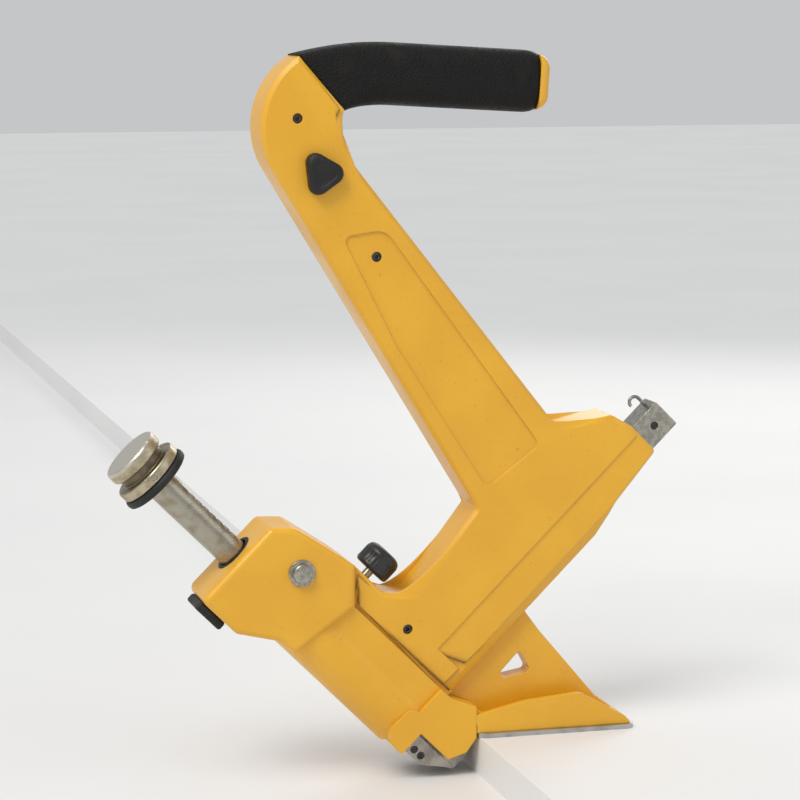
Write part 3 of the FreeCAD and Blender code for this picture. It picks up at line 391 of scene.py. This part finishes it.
def turned(name, profile, base, axis, ribs=0, depth=0.0, ribbed=()):
    """A turned piece: rings of (radius, height) in millimetres about an axis. Some rings may be ribbed."""
    side = SIDEWAYS
    other = axis.cross(side)
    count = 96
    rings = []
    for i, (radius, height) in enumerate(profile):
        ring = []
        for k in range(count):
            a = 2 * math.pi * k / count
            r = radius - (depth * (0.5 - 0.5 * math.cos(ribs * a)) if i in ribbed else 0.0)
            ring.append(base + (side * math.cos(a) + other * math.sin(a)) * r / 1000 + axis * height / 1000)
        rings.append(ring)
    hollow = profile[0] == profile[-1]
    return solid(name, rings, closed=not hollow)


def screwed_pad():
    """The pad: a block with rounded edges, across the ram, and a counterbore for each of its screws."""
    mesh = bmesh.new()
    turn = Matrix((ACROSS_RAM, SIDEWAYS, UP_RAM)).transposed().to_4x4()
    centre = Matrix.Translation(at_ram(-38, 154))
    measures = Matrix.Diagonal((0.006, 0.030, 0.021, 1))
    bmesh.ops.create_cube(mesh, size=1.0, matrix=centre @ turn @ measures)
    bmesh.ops.bevel(mesh, geom=mesh.edges, offset=0.0017, segments=5, profile=0.5, affect="EDGES")
    data = bpy.data.meshes.new("head_pad")
    mesh.to_mesh(data)
    mesh.free()
    pad = bpy.data.objects.new("head_pad", data)
    bpy.context.scene.collection.objects.link(pad)
    for y in (-9.0, 9.0):
        hole = turned("hole", [(3.6, 0), (3.6, 4.4)], at_ram(-42.4, 154, y), ACROSS_RAM)
        cut = pad.modifiers.new("hole", "BOOLEAN")
        cut.object = hole
        bpy.context.view_layer.objects.active = pad
        bpy.ops.object.modifier_apply(modifier=cut.name)
        bpy.data.objects.remove(hole)
    return pad


finished(screwed_pad(), rubber, "frame", "black_rubber", "front_pad")
wiper = turned("shaft_wiper", [(10.4, 162.7), (12.95, 162.7), (12.95, 167.0), (12.6, 167.4), (11.8, 167.45),
                               (11.2, 167.2), (10.7, 167.45), (10.4, 167.2), (10.4, 162.7)],
               at_ram(0, 0), UP_RAM)
finished(wiper, rubber, "frame", "black_rubber", "wiper_ring")
washer = turned("bore_washer", [(10.4, 56.2), (12.8, 56.2), (13.0, 57.2), (12.6, 58.5), (13.0, 59.8),
                                (12.7, 60.8), (10.6, 60.8), (10.4, 56.2)], at_ram(0, 0), UP_RAM)
finished(washer, rubber, "frame", "black_rubber", "stroke_bumper")
cushion = turned("flange_cushion", [(16.0, 233.0), (22.2, 233.0), (23.1, 233.5), (23.5, 234.6),
                                    (23.5, 236.2), (23.1, 237.3), (22.3, 237.95), (16.0, 237.95),
                                    (16.0, 233.0)],
                 at_ram(0, 0), UP_RAM)
finished(cushion, rubber, "ram", "black_rubber", "ram_ring")


# ---- Ram shaft, blade and their pins ----------------------------------------------------------------------
# The shaft is hardened steel, turned and centreless ground, with the ratchet's rack cut along one flat.
# It is oiled, so faint streaks run round and along it. The blade and the pins are plain hard steel.

def ground_steel(start):
    lean = (0.0, math.radians(45.0), 0.0)
    turned_along = {"Vector": place(start), "Rotation": lean, "Scale": (60.0, 60.0, 2600.0)}
    rings = noise(start, 1.0, 3.0, start.node("ShaderNodeMapping", {}, turned_along))
    oil = noise(start, 0.011, 4.0)
    worn = edges(start, 0.0005)
    grey = mixed(ranged(oil, 0.42, 0.68), (0.40, 0.37, 0.30, 1), (0.27, 0.235, 0.165, 1))
    return {
        "Base Color": mixed(worn * 0.5, grey, (0.62, 0.60, 0.54, 1)),
        "Roughness": ranged(rings, 0.3, 0.7, 0.18, 0.34),
        "Normal": bumped(rings, 0.00003, eased(start, 0.0004)),
    }


ground = coating("ground steel", {"Metallic": 1.0}, ground_steel)
paint(ground, "ram_shaft", "driver_blade", "blade_pin", "strike_head_pin", "release_stem", "pusher_rod")


# ---- Strike head ------------------------------------------------------------------------------------------
# A turned steel head, pinned on the shaft, with a flange, a neck and a mushroom cap. Heat treatment has
# left it straw-coloured, and the dark in its neck is painted shade. Mallet blows polish the cap's face and
# rim, and dent them, and the face's brightness is partly a painted highlight.

def struck_steel(start):
    spot = place(start)
    offset = {"operation": "SUBTRACT"}
    from_face = start.node("ShaderNodeVectorMath", offset, {0: spot, 1: tuple(at_ram(0, 259))})
    upward = {0: from_face, 1: tuple(UP_RAM)}
    height = start.node("ShaderNodeVectorMath", {"operation": "DOT_PRODUCT"}, upward, "Value")
    patchy = noise(start, 0.007, 5.0)
    # The cap's top few millimetres go light: bare polish from the blows, and partly a painted highlight.
    polish_and_highlight = ranged(height + (patchy - 0.5) * 0.004, -0.0034, -0.0008)
    rim = edges(start, 0.0009) * ranged(patchy, 0.4, 0.6)
    bare_and_lit = polish_and_highlight + (1.0 - polish_and_highlight) * rim * 0.7
    dents = ranged(noise(start, 0.0035, 2.0), 0.60, 0.70)
    # Painted shade: the neck between the flange and the cap is darkened to near black.
    neck_shade = ranged(height, -0.0145, -0.0135) * ranged(height, -0.0095, -0.0085, 1.0, 0.0)
    straw = mixed(ranged(patchy, 0.4, 0.65), (0.50, 0.44, 0.31, 1), (0.36, 0.30, 0.19, 1))
    black = mixed(neck_shade * 0.8, straw, (0.10, 0.08, 0.05, 1))
    return {
        "Base Color": mixed(bare_and_lit, black, (0.66, 0.62, 0.53, 1)),
        "Roughness": ranged(patchy, 0.3, 0.7, 0.28, 0.44),
        "Normal": bumped(dents * -1.0 + noise(start, 0.0007, 3.0) * 0.2, 0.00014, eased(start, 0.0007)),
    }


paint(coating("struck steel", {"Metallic": 1.0}, struck_steel), "strike_head")


# ---- Springs ----------------------------------------------------------------------------------------------
# The ram's return spring, the pawl's spring and the magazine's long spring are cold-wound music wire with
# closed ends, each wound at rest on a mesh of its own. The wire has a smooth bluish grey skin from drawing,
# with a thin film of oil. The hook on the magazine's block is bent from the same wire.

WIRE_STEPS_PER_TURN = 26
WIRE_SIDES = 8


def spring_wire(start):
    film = noise(start, 0.004, 3.0)
    return {
        "Base Color": mixed(ranged(film, 0.35, 0.65), (0.36, 0.37, 0.39, 1), (0.24, 0.24, 0.25, 1)),
        "Roughness": ranged(film, 0.3, 0.7, 0.22, 0.36),
        "Normal": bumped(noise(start, 0.0003, 2.0), 0.00001, eased(start, 0.0002)),
    }


def wound(name, base, axis, length, mean_radius, wire_radius, turns):
    """A spring of round wire with closed end turns, from base along axis. It is measured in millimetres."""
    side = SIDEWAYS
    other = axis.cross(side)
    close = 2.2 * wire_radius
    wide = (length - 2 * wire_radius - 2 * close) / (turns - 2)
    rings = []
    for i in range(round(turns * WIRE_STEPS_PER_TURN) + 1):
        turn = i / WIRE_STEPS_PER_TURN
        height = wire_radius + close * min(turn, 1) + wide * max(0, min(turn, turns - 1) - 1)
        height += close * max(0, turn - (turns - 1))
        outward = side * math.cos(2 * math.pi * turn) + other * math.sin(2 * math.pi * turn)
        ring = []
        for k in range(WIRE_SIDES):
            b = 2 * math.pi * k / WIRE_SIDES
            away = outward * (mean_radius + wire_radius * math.cos(b))
            ring.append(base + (away + axis * (height + wire_radius * math.sin(b))) / 1000)
        rings.append(ring)
    return solid(name, rings)


wire = coating("spring wire", {"Metallic": 1.0}, spring_wire)
paint(wire, "latch_hook")

return_foot = at_ram(0, 61.2)
return_spring = wound("return_coil", return_foot, UP_RAM, 72.6, 11.6, 0.8, 6.5)
finished(return_spring, wire, "frame", "bare_steel", "ram_spring")
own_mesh(return_spring)

tooth_spring = wound("tooth_coil", at_ram(23.1, 147), ACROSS_RAM, 13.2, 3.2, 0.5, 6.5)
finished(tooth_spring, wire, "frame", "bare_steel", "pawl_spring")
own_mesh(tooth_spring)

strip_spring = wound("strip_coil", at_ram(56.2, 27, 8.0), ACROSS_RAM, 165.6, 2.7, 0.4, 28)
finished(strip_spring, wire, "frame", "bare_steel", "pusher_spring")
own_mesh(strip_spring)


# ---- Pivot bolt, nut and the magazine's steel -------------------------------------------------------------
# The pawl turns on a zinc-plated shoulder bolt with a domed head and a washer, and a nut on the far side.
# The square block that closes the magazine is bright drawn bar. The rail and the pusher are folded strip.

def plated_steel(start):
    spangle = noise(start, 0.0028, 4.0)
    scuff = ranged(noise(start, 0.0012, 5.0), 0.55, 0.75)
    tint = mixed(ranged(spangle, 0.35, 0.65), (0.44, 0.42, 0.36, 1), (0.31, 0.30, 0.26, 1))
    return {
        "Base Color": mixed(scuff * 0.5, tint, (0.22, 0.20, 0.17, 1)),
        "Roughness": ranged(spangle, 0.3, 0.7, 0.26, 0.42),
        "Normal": bumped(noise(start, 0.0006, 3.0), 0.00003, eased(start, 0.0006)),
    }


plated = coating("plated steel", {"Metallic": 1.0}, plated_steel)
paint(plated, "pawl_bolt", "pawl_nut", "magazine_block", "magazine_rails", "pusher")


# ---- Bushes -----------------------------------------------------------------------------------------------
# Oil-filled sintered bronze guides the shaft in the head and the release stem in the frame.
# Its pores show as dark specks in a dull brown gold.

def sintered_bronze(start):
    pores = ranged(noise(start, 0.0005, 2.0), 0.58, 0.68)
    stain = noise(start, 0.006, 4.0)
    gold = mixed(ranged(stain, 0.35, 0.65), (0.42, 0.25, 0.11, 1), (0.30, 0.17, 0.075, 1))
    return {
        "Base Color": mixed(pores, gold, (0.06, 0.04, 0.025, 1)),
        "Roughness": ranged(stain, 0.3, 0.7, 0.34, 0.50),
        "Normal": bumped(pores * -1.0, 0.00004, eased(start, 0.0004)),
    }


paint(coating("sintered bronze", {"Metallic": 1.0}, sintered_bronze), "upper_bush", "release_bush")


# ---- Release knob -----------------------------------------------------------------------------------------
# A moulded black plastic knob pressed on the release stem: pushing it lets the ram rise.
# Fine ribs run round its waist for the thumb, and its face is dished.

def moulded_plastic(start):
    broad = noise(start, 0.008, 3.0)
    spark = noise(start, 0.00035, 2.0)
    return {
        "Base Color": mixed(ranged(broad, 0.4, 0.7), (0.012, 0.012, 0.013, 1), (0.024, 0.024, 0.025, 1)),
        "Roughness": ranged(broad, 0.3, 0.7, 0.30, 0.42),
        "Normal": bumped(spark, 0.00004, eased(start, 0.0004)),
    }


knob_black = coating("moulded black plastic", {"Specular IOR Level": 0.5}, moulded_plastic)
knob = turned("release_button", [(3.2, 50.6), (10.6, 50.6), (11.6, 51.2), (12.1, 52.4), (12.15, 53.4),
                                 (12.15, 53.8), (12.15, 60.6), (12.15, 61.0), (12.0, 62.2), (11.2, 64.2),
                                 (9.6, 65.6), (7.6, 66.3), (5.6, 66.2), (3.4, 65.8), (1.0, 65.6)],
              at_ram(0, 94.5), ACROSS_RAM, ribs=24, depth=0.55, ribbed=(5, 6))
finished(knob, knob_black, "release", "black_plastic", "release_knob")


# ---- Nose jaw ---------------------------------------------------------------------------------------------
# The hardened jaw that hooks over the board's tongue. Nails leave through it, and a slot shows the channel.
# It is ground bright where it meets the wood, and darker from heat treatment above.

def hardened_steel(start):
    heat = noise(start, 0.013, 3.0)
    scratch = noise(start, 0.0009, 5.0)
    worn = edges(start, 0.0008)
    dark = mixed(ranged(heat, 0.38, 0.62), (0.26, 0.24, 0.22, 1), (0.42, 0.40, 0.37, 1))
    return {
        "Base Color": mixed(worn * 0.7, dark, (0.66, 0.64, 0.60, 1)),
        "Roughness": ranged(scratch, 0.3, 0.7, 0.26, 0.42),
        "Normal": bumped(scratch, 0.00004, eased(start, 0.0006)),
    }


paint(coating("hardened steel", {"Metallic": 1.0}, hardened_steel), "nosepiece")


# ---- Floor, light and camera ------------------------------------------------------------------------------
# The sole stands on a pale board, and the nose hooks over the board's edge down to a pale floor.
# A broad light overhead evens the floor, and softer ones stand round the tool. The camera looks from the
# left, a little from the front and from above.

def pale_floor(start):
    tone = noise(start, 0.35, 2.0)
    return {
        "Base Color": mixed(ranged(tone, 0.3, 0.7), (0.80, 0.80, 0.79, 1), (0.77, 0.77, 0.765, 1)),
        "Roughness": ranged(tone, 0.3, 0.7, 0.55, 0.65),
    }


floor_finish = coating("pale floor", {}, pale_floor)
step_x = -0.0505
floor_low = -0.0245
floor_reach = 8.0
corners = [(-floor_reach, floor_low), (step_x, floor_low), (step_x, 0.0), (floor_reach, 0.0)]
stage_mesh = bmesh.new()
left = [stage_mesh.verts.new((x, -floor_reach, z)) for x, z in corners]
right = [stage_mesh.verts.new((x, floor_reach, z)) for x, z in corners]
for i in range(len(corners) - 1):
    stage_mesh.faces.new((left[i], left[i + 1], right[i + 1], right[i]))
stage_data = bpy.data.meshes.new("floor")
stage_mesh.to_mesh(stage_data)
stage_mesh.free()
floor = bpy.data.objects.new("floor", stage_data)
bpy.context.scene.collection.objects.link(floor)
floor.data.materials.append(floor_finish)

world = bpy.data.worlds.new("studio")
world.use_nodes = True
world.node_tree.nodes["Background"].inputs["Color"].default_value = (0.93, 0.94, 0.96, 1)
world.node_tree.nodes["Background"].inputs["Strength"].default_value = 0.60
bpy.context.scene.world = world
bpy.context.scene.view_settings.view_transform = "Standard"

middle = Vector((-0.096, 0, 0.213))


def soft_light(name, where, size, power, colour):
    """A square soft light that faces the tool."""
    lamp = bpy.data.lights.new(name, "AREA")
    lamp.size = size
    lamp.energy = power
    lamp.color = colour
    holder = bpy.data.objects.new(name, lamp)
    holder.location = where
    holder.rotation_euler = (middle - Vector(where)).to_track_quat("-Z", "Y").to_euler()
    bpy.context.scene.collection.objects.link(holder)


soft_light("key", (-1.3, -1.0, 1.7), 0.8, 14.0, (1.0, 0.97, 0.92))
soft_light("fill", (1.5, -1.2, 0.7), 1.2, 3.0, (0.95, 0.97, 1.0))
soft_light("behind", (0.8, 1.5, 1.0), 1.0, 6.0, (1.0, 0.98, 0.95))
sky = bpy.data.lights.new("overhead", "SUN")
sky.energy = 1.0
sky.angle = math.radians(35.0)
overhead = bpy.data.objects.new("overhead", sky)
overhead.rotation_euler = (math.radians(20.0), math.radians(-25.0), 0.0)
bpy.context.scene.collection.objects.link(overhead)

azimuth = math.radians(-15.0)
elevation = math.radians(8.0)
distance = 1.8
lens = bpy.data.cameras.new("camera")
lens.lens = 130.0
camera = bpy.data.objects.new("camera", lens)
toward = Vector((math.sin(azimuth) * math.cos(elevation), -math.cos(azimuth) * math.cos(elevation),
                 math.sin(elevation)))
camera.location = middle + toward * distance
camera.rotation_euler = (-toward).to_track_quat("-Z", "Y").to_euler()
bpy.context.scene.collection.objects.link(camera)
bpy.context.scene.camera = camera
